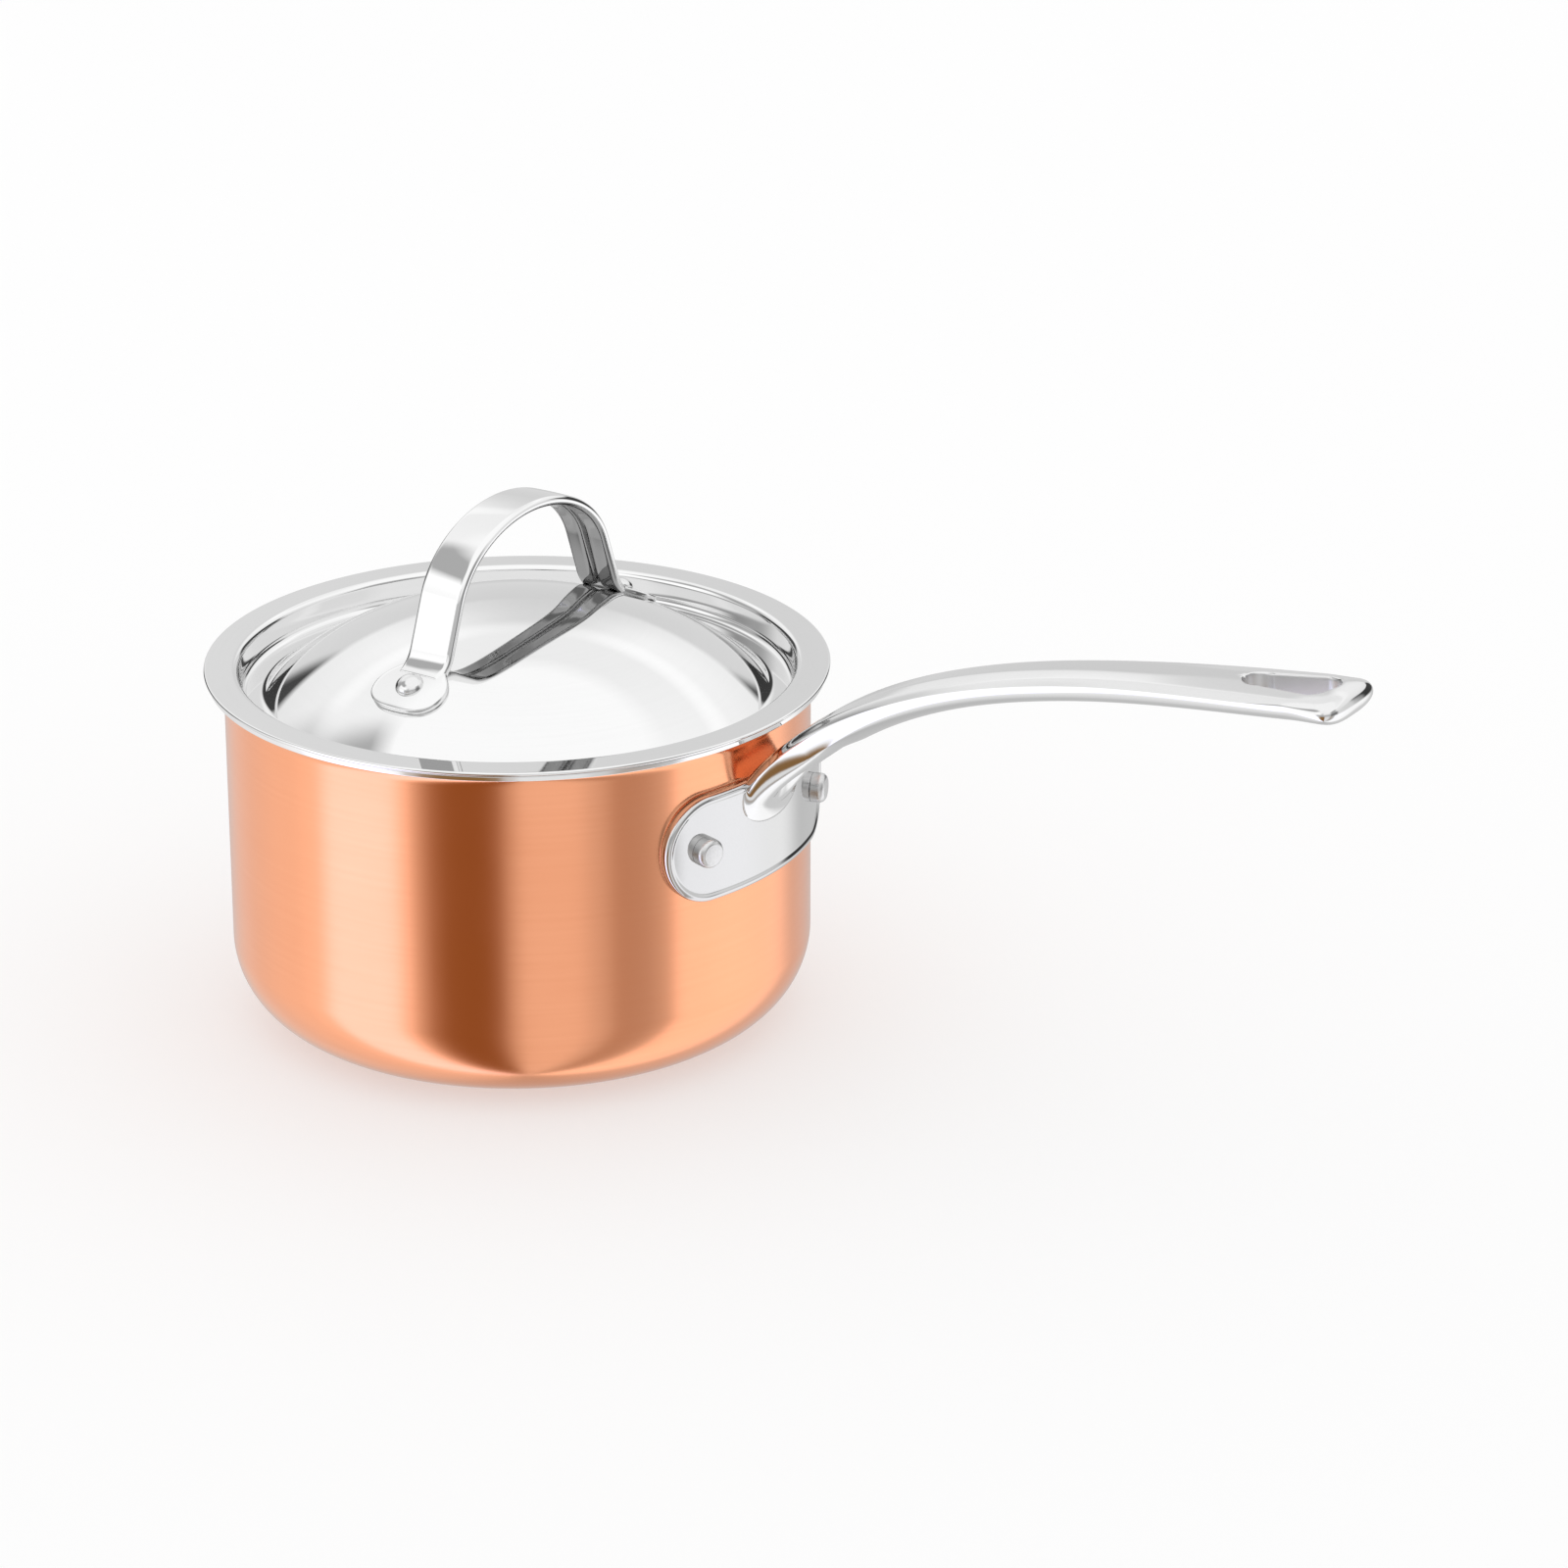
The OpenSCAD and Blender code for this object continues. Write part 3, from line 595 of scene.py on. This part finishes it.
def path_way(t):
    """The direction of the middle line."""
    t = np.asarray(t)[..., None]
    d = (1 - t) ** 2 * (PATH[1] - PATH[0]) + 2 * t * (1 - t) * (PATH[2] - PATH[1]) + t * t * (PATH[3] - PATH[2])
    return d / np.linalg.norm(d, axis=-1, keepdims=True)


FINE_X = path_at(FINE)[:, 0]


def half_width(x):
    """Half the grip's width: narrow in the middle, wider at the neck's root and at the tip."""
    return 10.25 + 2.65 * (1 - smooth((x - PLATE_R) / 14)) + 3.25 * smooth((x - GRIP_END + 85) / 68)


def thickness(x):
    """The grip's thickness, which falls from the neck out."""
    return 9.2 + 1.8 * (1 - smooth((x - PLATE_R) / 70))


def level(x, y):
    """0 on the middle line and 1 on the outline; past the last stretch the lines of equal level run round the tip."""
    past = np.clip((x - GRIP_END + TIP_ROUND) / TIP_ROUND, 0, None)
    side = np.abs(y) / half_width(np.minimum(x, GRIP_END - TIP_ROUND))
    return (side**3.2 + past**3.2) ** (1 / 3.2)


def rooted(x, length):
    """1 at the plate's face, falling to 0 over a length along X."""
    return 1 - smooth((x - PLATE_R) / length)


def knee(q, at, soft):
    """A ramp that starts at a place with a small rounding."""
    return ((q - at) + np.sqrt((q - at) ** 2 + soft**2)) / 2


def flat_share(x):
    """The flat top's share of the half width, which narrows towards the slot."""
    return 0.4 - 0.15 * smooth((x - 200) / 25)


def ridge_height(x):
    """The height of the side ridge in shares of the thickness, which drops to the middle round the tip."""
    return RIDGE - 0.2 * smooth((x - GRIP_END + 16) / 12)


def quarter(q, start):
    """0 up to a place, then a quarter circle that reaches 1 upright at q = 1."""
    k = np.clip((q - start) / (1 - start), 0, 1)
    return 1 - np.sqrt(1 - k * k)


def top_height(x, q):
    """The top face, in shares of the thickness: flat, then a shoulder, then a bevel down to the ridge."""
    f = flat_share(x)
    shoulder_slope = 0.13 / (BEVEL_AT - f)
    bevel_slope = 0.775
    near, tip = rooted(x, 45), smooth((x - GRIP_END + 30) / 24)
    bevel = knee(q, BEVEL_AT, 0.03) * (1 - tip) + 0.2 * quarter(q, BEVEL_AT) * tip
    fall = shoulder_slope * knee(q, f, 0.04) + (bevel_slope - shoulder_slope) * bevel
    fall = fall + (RIDGE - ridge_height(x)) * quarter(q, 0.5)
    return 0.5 - fall * (1 - near) - 0.285 * quarter(q, 0.7) * near


def belly_height(x, q):
    """The underside, in shares of the thickness: half an ellipse, hollowed under the neck."""
    along = smooth((x - PLATE_R - 1.5) / 5) * (1 - smooth((x - PLATE_R - 10) / 17))
    groove = GROOVE_DEPTH * along * (1 - smooth((q - 0.12) / 0.45))
    depth = 0.5 + ridge_height(x) - 0.2 * rooted(x, 16)
    return ridge_height(x) - depth * np.sqrt(np.clip(1 - q**2, 0, 1)) + groove / thickness(x)


def slot_outline(n):
    """Half of the hanging slot's outline from its narrow end round to its wide end."""
    lean = math.degrees(math.acos((SLOT_WIDE[1] - SLOT_NARROW[1]) / (SLOT_WIDE[0] - SLOT_NARROW[0])))
    pts = chain(arc((SLOT_NARROW[0], 0), SLOT_NARROW[1], 180, lean, 30),
                arc((SLOT_WIDE[0], 0), SLOT_WIDE[1], lean, 0, 30))
    pts[[0, -1], 1] = 0
    run = np.concatenate([[0], np.cumsum(np.linalg.norm(np.diff(pts, axis=0), axis=1))])
    at = np.linspace(0, run[-1], n)
    return np.stack([np.interp(at, run, pts[:, 0]), np.interp(at, run, pts[:, 1])], 1)


def rows():
    """Each row's inner and outer point seen from above: middle line or slot edge, out to the grip's outline."""
    near = np.array([0, 0.1, 0.25, 0.45, 0.7, 1.0, 1.4, 1.9, 2.5, 3.2, 4.2, 5.5, 7, 9, 11.5])
    last = SLOT_NARROW[0] - SLOT_NARROW[1]
    x = np.concatenate([PLATE_R - FIELD_DEPTH + near, np.linspace(99.5, last, 92)])
    plain_in = np.stack([x, 0 * x], 1)
    plain_out = np.stack([x, half_width(x)], 1)
    n = 72
    inner = slot_outline(n)
    cap_from = GRIP_END - TIP_ROUND
    straight = int(n * 0.6)
    sx = np.linspace(last, cap_from, straight)
    phi = np.linspace(0, math.pi / 2, n - straight + 1)[1:]
    cap = np.stack([cap_from + TIP_ROUND * np.sin(phi) ** 0.625, half_width(cap_from) * np.cos(phi) ** 0.625], 1)
    cap[-1] = (GRIP_END, 0)
    outer = np.concatenate([np.stack([sx, half_width(sx)], 1), cap])
    return np.concatenate([plain_in, inner[1:]]), np.concatenate([plain_out, outer[1:]]), len(x) - 1


def spread(inner, outer, targets):
    """Places along each row at which the level takes its target values, found by repeated correction."""
    q_in = level(inner[:, 0], inner[:, 1])[:, None]
    v = (targets - q_in) / (1 - q_in)
    for _ in range(12):
        p = inner[:, None] + (outer - inner)[:, None] * v[..., None]
        v = np.clip(v + (targets - level(p[..., 0], p[..., 1])) / (1 - q_in) * 0.8, 0, 1)
    v[:, 0], v[:, -1] = 0, 1
    return inner[:, None] + (outer - inner)[:, None] * v[..., None]


def plan_lines(inner, outer):
    """Each row's points seen from above, over the top and back under, crowded where the height bends."""
    q_in = level(inner[:, 0], inner[:, 1])[:, None]
    flat = np.maximum(flat_share(inner[:, 0])[:, None], q_in + 0.06)
    first = q_in + (flat - q_in) * np.array([0, 0.08, 0.3, 0.6, 0.85, 0.95])[None]
    second = flat + (BEVEL_AT - flat) * np.array([0, 0.08, 0.2, 0.5, 0.8, 0.92])[None]
    third = BEVEL_AT + 0.2 * np.array([0, 0.15, 0.35, 0.55, 0.75, 0.88, 0.95, 0.985, 1.0])[None] + 0 * q_in
    over = spread(inner, outer, np.concatenate([first, second, third], 1))
    under_q = np.cos(np.arccos(np.clip(q_in, 0, 1)) * np.linspace(0, 1, 22)[None])
    return over, spread(inner, outer, under_q[:, ::-1])[:, ::-1]


def lifted(plan, height, drop=0.0):
    """Plan points carried to the curve: y across, and height times the thickness, less a drop, along its normal."""
    x, y = plan[..., 0], plan[..., 1]
    q = np.clip(level(x, y), 0, 1)
    t = np.interp(x, FINE_X, FINE)
    c, d = path_at(t), path_way(t)
    h = height(x, q) * thickness(x) - drop
    return np.stack([c[..., 0] - d[..., 1] * h, y, c[..., 1] + d[..., 0] * h], -1), d


def slot_roll(over, inner, slot_row):
    """How far the slot's upper edge rolls down: a quarter circle next to the slot, and 0 elsewhere."""
    from_slot = np.minimum(np.linalg.norm(over - inner[:, None], axis=-1), SLOT_RIM)
    rolled = SLOT_RIM - np.sqrt(SLOT_RIM**2 - (SLOT_RIM - from_slot) ** 2)
    rolled[:slot_row] = 0
    return rolled


def seated(band, way, gone):
    """The band slid along its own way until it starts on the plate, or on the wall above it; the slide fades out."""
    face = PLATE_R - FIELD_DEPTH - ROOT_SINK
    wall = OUTER_R + ROOT_SINK
    first_y = band[0, :, 1]
    reach = (np.sqrt(face * face - first_y**2) - band[0, :, 0]) / way[0, :, 0]
    meets_z = band[0, :, 2] + reach * way[0, :, 1]
    plate_top = PLATE_Z + PLATE_H / 2
    r = face + (wall - face) * smooth((meets_z - plate_top + 2.5) / 3)
    reach = (np.sqrt(r * r - first_y**2) - band[0, :, 0]) / way[0, :, 0]
    slide = reach[None, :] * (1 - smooth(gone / 30))[:, None]
    return band + slide[..., None] * np.stack([way[..., 0], 0 * way[..., 0], way[..., 1]], -1), r


def filleted(band, way, r, gone):
    """The seated band with a fillet: near the plate each line swings outward along the wall by a quarter circle."""
    ring = band[0]
    along = np.gradient(ring[:, [1, 2]], axis=0)
    outward = np.stack([along[:, 1], -along[:, 0]], 1)
    outward /= np.maximum(np.linalg.norm(outward, axis=1, keepdims=True), 1e-9)
    middle = ring[:, [1, 2]].mean(0)
    if ((ring[:, [1, 2]] - middle) * outward).sum() < 0:
        outward = -outward
    outward[[0, -1], 0] = 0
    size = 0.5 + 2.5 * smooth((0.35 - outward[:, 1]) / 1.1)
    size = np.convolve(np.pad(size, 4, mode="edge"), np.ones(9) / 9, "valid")
    d = np.minimum(gone[:, None], size[None])
    swing = size[None] - np.sqrt(np.clip(size[None] ** 2 - (size[None] - d) ** 2, 0, None))
    band = band.copy()
    band[..., 1] += swing * outward[None, :, 0]
    band[..., 2] += swing * outward[None, :, 1]
    wall_x = np.sqrt((r[None] + gone[:, None] * way[0, 0, 0]) ** 2 - band[..., 1] ** 2)
    keep = np.clip(swing / size[None], 0, 1)
    band[..., 0] = np.where(swing > 1e-6, band[..., 0] * (1 - keep) + wall_x * keep, band[..., 0])
    return band


def slot_wall(band, slot_row):
    """The slot's upright wall: straight lines from its upper edge down to its lower edge."""
    upper, lower = band[slot_row:, 0], band[slot_row:, -1]
    k = np.array([0, 0.04, 0.2, 0.5, 0.8, 0.96, 1.0])[None, :, None]
    wall = upper[:, None] * (1 - k) + lower[:, None] * k
    return wall.reshape(-1, 3), grid_faces(wall.shape[0], wall.shape[1])[:, ::-1]


def root_end(band):
    """The end inside the plate: straight lines from the band's first ring to one point in its middle."""
    root = band[0]
    hub = np.repeat(np.array([[OUTER_R + ROOT_SINK, 0.0, root[:, 2].mean()]]), len(root), 0)
    return np.stack([hub, root]).reshape(-1, 3), grid_faces(2, len(root))


def grip():
    """Half of the grip as a closed band over the top, round the ridge and back under, mirrored to the other side."""
    inner, outer, slot_row = rows()
    over, under = plan_lines(inner, outer)
    top, top_way = lifted(over, top_height, slot_roll(over, inner, slot_row))
    low, low_way = lifted(under, belly_height)
    band = np.concatenate([top, low[:, 1:]], 1)
    way = np.concatenate([top_way, low_way[:, 1:]], 1)
    gone = np.concatenate([[0], np.cumsum(np.linalg.norm(np.diff(band[:, 0], axis=0), axis=1))])
    band, r = seated(band, way, gone)
    band = filleted(band, way, r, gone)
    shell = band.reshape(-1, 3), grid_faces(*band.shape[:2])
    pts, faces = joined([shell, slot_wall(band, slot_row), root_end(band)])
    pts[np.abs(pts[:, 1]) < WELD, 1] = 0
    return joined([(pts, faces), (pts * [1, -1, 1], faces[:, ::-1])])


piece("grip", *grip(), "pan", "handle", "steel", CAST)
piece("wall_plate", *plate(), "pan", "handle", "steel", SHADED_PLATE_STEEL)

# the core is sealed between the skins and keeps its own mesh
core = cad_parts["aluminium_core"]
core.data.materials.clear()
core.data.materials.append(CORE)


# ---------------------------------------------------------------- floor, camera and light
def plain(name, colour, rough):
    """A plain matt surface with a faint mottle, which also glows by its own colour, so that shadows on it stay pale."""
    m = bpy.data.materials.new(name)
    m.use_nodes = True
    nt = m.node_tree
    noise = nt.nodes.new("ShaderNodeTexNoise")
    noise.inputs["Scale"].default_value = 6.0
    ramp = nt.nodes.new("ShaderNodeMix")
    ramp.data_type = "RGBA"
    ramp.inputs["A"].default_value = (*colour, 1)
    ramp.inputs["B"].default_value = (*[c * 0.985 for c in colour], 1)
    nt.links.new(noise.outputs[0], ramp.inputs["Factor"])
    shader = nt.nodes["Principled BSDF"]
    nt.links.new(ramp.outputs["Result"], shader.inputs["Base Color"])
    shader.inputs["Roughness"].default_value = rough
    shader.inputs["Specular IOR Level"].default_value = 0.1
    nt.links.new(ramp.outputs["Result"], shader.inputs["Emission Color"])
    shader.inputs["Emission Strength"].default_value = 1.0
    return m


half = 3.0
under_base = 0.0002
floor_mesh = bpy.data.meshes.new("floor")
floor_mesh.from_pydata([(-half, -half, 0), (half, -half, 0), (half, half, 0), (-half, half, 0)], [], [(0, 1, 2, 3)])
floor = bpy.data.objects.new("floor", floor_mesh)
floor.location.z = -under_base
bpy.context.scene.collection.objects.link(floor)
floor_mesh.materials.append(plain("pale floor", (0.475, 0.475, 0.475), 0.8))
floor.visible_glossy = False

cam_data = bpy.data.cameras.new("camera")
cam_data.lens = 125.2
cam_data.sensor_width = 36
camera = bpy.data.objects.new("camera", cam_data)
camera.location = (0.8279, -1.1788, 0.6371)
aim = Vector((0.0606, 0.0444, 0.0635))
camera.rotation_mode = "QUATERNION"
camera.rotation_quaternion = (aim - camera.location).to_track_quat("-Z", "Y")
cam_data.clip_start = 0.05
cam_data.clip_end = 20
bpy.context.scene.collection.objects.link(camera)
bpy.context.scene.camera = camera


# The studio as reflections see it, by turn in degrees to the right of the camera's own side.
CAMERA_SIDE = math.degrees(math.atan2(camera.location.y - aim.y, camera.location.x - aim.x))
# Below the horizon: long soft lights and dark gaps, each (turn, brightness, tint); see tinted
LOW_SIDES = [(-180, 0.62, 0.0), (-134, 0.90, 0.0), (-100, 1.02, 0.0), (-86, 1.12, 0.0),
             (-75, 1.55, 0.6), (-50, 1.55, 0.6), (-43, 1.2, 0.0), (-38, 0.70, -0.15),
             (-32, 0.40, -0.45), (-26, 0.30, -0.6), (-11, 0.29, -0.62), (-6, 0.36, -0.45),
             (-1, 0.72, -0.1), (4, 0.95, 0.0), (24, 0.95, 0.0), (32, 0.77, 0.0),
             (42, 0.53, -0.15), (51, 0.55, -0.1), (60, 0.66, 0.0), (69, 1.3, 0.04),
             (92, 1.34, 0.04), (119, 1.25, 0.0), (140, 0.75, 0.0)]
# At the horizon, each (turn, brightness): near-black panels behind both sides, a light at the left, grey between
HORIZON = [(-180, 0.76), (-158, 0.80), (-152, 0.07), (-120, 0.05), (-110, 0.6), (-72, 1.40),
           (-54, 1.40), (-44, 0.60), (-18, 0.50), (-6, 0.60), (34, 0.6), (46, 0.24),
           (72, 0.24), (84, 0.90), (112, 0.85), (120, 0.05), (152, 0.07), (158, 0.80)]
# Above the horizon, each (turn, brightness)
HIGH_SIDES = [(-180, 0.95), (-160, 1.28), (-140, 1.2), (-118, 0.6), (-104, 0.5), (-88, 1.45), (-45, 1.5), (-22, 0.9),
              (-8, 1.2), (30, 1.2), (52, 0.5), (66, 0.55), (80, 1.2), (118, 1.25), (140, 1.25), (160, 1.28)]
# From the horizon up, each (height as a share, brightness): the walls go from grey to pale
WALL_RISE = [(0.0, 0.68), (0.10, 0.72), (0.19, 0.80), (0.30, 0.82), (0.52, 0.88), (0.66, 1.12), (1.0, 1.16)]
# High up, each (turn, brightness): a ceiling light with one grey panel
CEILING = [(-180, 1.05), (-130, 1.1), (-112, 0.50), (-70, 0.50), (-50, 1.15), (60, 1.2)]


def blended(nt, factor, a, b, kind="MIX"):
    """Two colours mixed or multiplied; a and b are sockets or three numbers."""
    n = nt.nodes.new("ShaderNodeMix")
    n.data_type, n.blend_type = "RGBA", kind
    for label, v in (("Factor", factor), ("A", a), ("B", b)):
        socket = [i for i in n.inputs if i.name == label and i.type == ("VALUE" if label == "Factor" else "RGBA")][0]
        if isinstance(v, tuple):
            socket.default_value = (*v, 1)
        elif isinstance(v, (int, float)):
            socket.default_value = v
        else:
            nt.links.new(v, socket)
    return [o for o in n.outputs if o.type == "RGBA"][0]


def ramp(nt, value, stops):
    """Colours along a value from 0 to 1, eased between (place, three numbers up to 2); the node holds half of each."""
    n = nt.nodes.new("ShaderNodeValToRGB")
    n.color_ramp.interpolation = "EASE"
    while len(n.color_ramp.elements) < len(stops):
        n.color_ramp.elements.new(0.5)
    for e, (at, colour) in zip(n.color_ramp.elements, stops):
        e.position = at
        e.color = (*[c / 2 for c in colour], 1)
    nt.links.new(value, n.inputs[0])
    return blended(nt, 1.0, n.outputs["Color"], (2.0, 2.0, 2.0), "MULTIPLY")


def ramp_round(nt, share, stops):
    """A ramp round the horizon, by turn from -180 degrees; at 180 it closes on its first colour."""
    return ramp(nt, share, [((at + 180) / 360, colour) for at, colour in stops + [(180, stops[0][1])]])


def tinted(value, tint):
    """A brightness as a colour: a tint above 0 leans it to blue, a tint below 0 to amber."""
    blue, amber = max(tint, 0), max(-tint, 0)
    return (value * (1 + 0.1 * blue), value * (1 + 0.1 * blue - 0.76 * amber), value * (1 + 0.62 * blue - 1.3 * amber))


def grey(v):
    """A brightness as a colour without tint."""
    return (v, v, v)


def reflected(nt):
    """The colour that a reflection sees each way: low lights, the horizon's panels, the walls, then the ceiling."""
    co = nt.nodes.new("ShaderNodeTexCoord")
    xyz = nt.nodes.new("ShaderNodeSeparateXYZ")
    nt.links.new(co.outputs["Generated"], xyz.inputs[0])
    x, y, z = xyz.outputs
    turn = math_node(nt, "SUBTRACT", math_node(nt, "ARCTAN2", y, x), math.radians(CAMERA_SIDE))
    share = math_node(nt, "FRACT", math_node(nt, "ADD", math_node(nt, "DIVIDE", turn, 2 * math.pi), 0.5))
    low = ramp_round(nt, share, [(at, tinted(v, tint)) for at, v, tint in LOW_SIDES])
    panels = ramp_round(nt, share, [(at, grey(v)) for at, v in HORIZON])
    horizon = blended(nt, ranged(nt, z, -0.20, -0.06, 0.0, 1.0), low, panels)
    sides = ramp_round(nt, share, [(at, grey(v)) for at, v in HIGH_SIDES])
    walls = blended(nt, 1.0, ramp(nt, z, [(at, grey(v)) for at, v in WALL_RISE]), sides, "MULTIPLY")
    lamp = ramp_round(nt, share, [(at, grey(v)) for at, v in CEILING])
    ceiling = blended(nt, ranged(nt, z, 0.80, 0.86, 0.0, 1.0), lamp, grey(1.2))
    upper = blended(nt, ranged(nt, z, 0.56, 0.66, 0.0, 1.0), walls, ceiling)
    return blended(nt, ranged(nt, z, 0.26, 0.31, 0.0, 1.0), horizon, upper)


def background(nt, strength=1.0):
    """A white surrounding of the given strength."""
    n = nt.nodes.new("ShaderNodeBackground")
    n.inputs["Color"].default_value = (1, 1, 1, 1)
    n.inputs["Strength"].default_value = strength
    return n


def chosen(nt, ray, no, yes):
    """The second surrounding for one kind of ray and the first for all others."""
    n = nt.nodes.new("ShaderNodeMixShader")
    for socket, source in zip(n.inputs, (ray, no.outputs[0], yes.outputs[0])):
        nt.links.new(source, socket)
    return n


def studio():
    """Three surroundings in one world: placed panels in reflections, even white as light, plain white in view."""
    world = bpy.data.worlds.new("studio")
    world.use_nodes = True
    nt = world.node_tree
    nt.nodes.clear()
    shine = background(nt)
    nt.links.new(reflected(nt), shine.inputs["Color"])
    rays = nt.nodes.new("ShaderNodeLightPath").outputs
    lit = chosen(nt, rays["Is Glossy Ray"], background(nt, 1.08), shine)
    seen = chosen(nt, rays["Is Camera Ray"], lit, background(nt))
    nt.links.new(seen.outputs[0], nt.nodes.new("ShaderNodeOutputWorld").inputs[0])
    bpy.context.scene.world = world
    bpy.context.scene.view_settings.view_transform = "Standard"


studio()
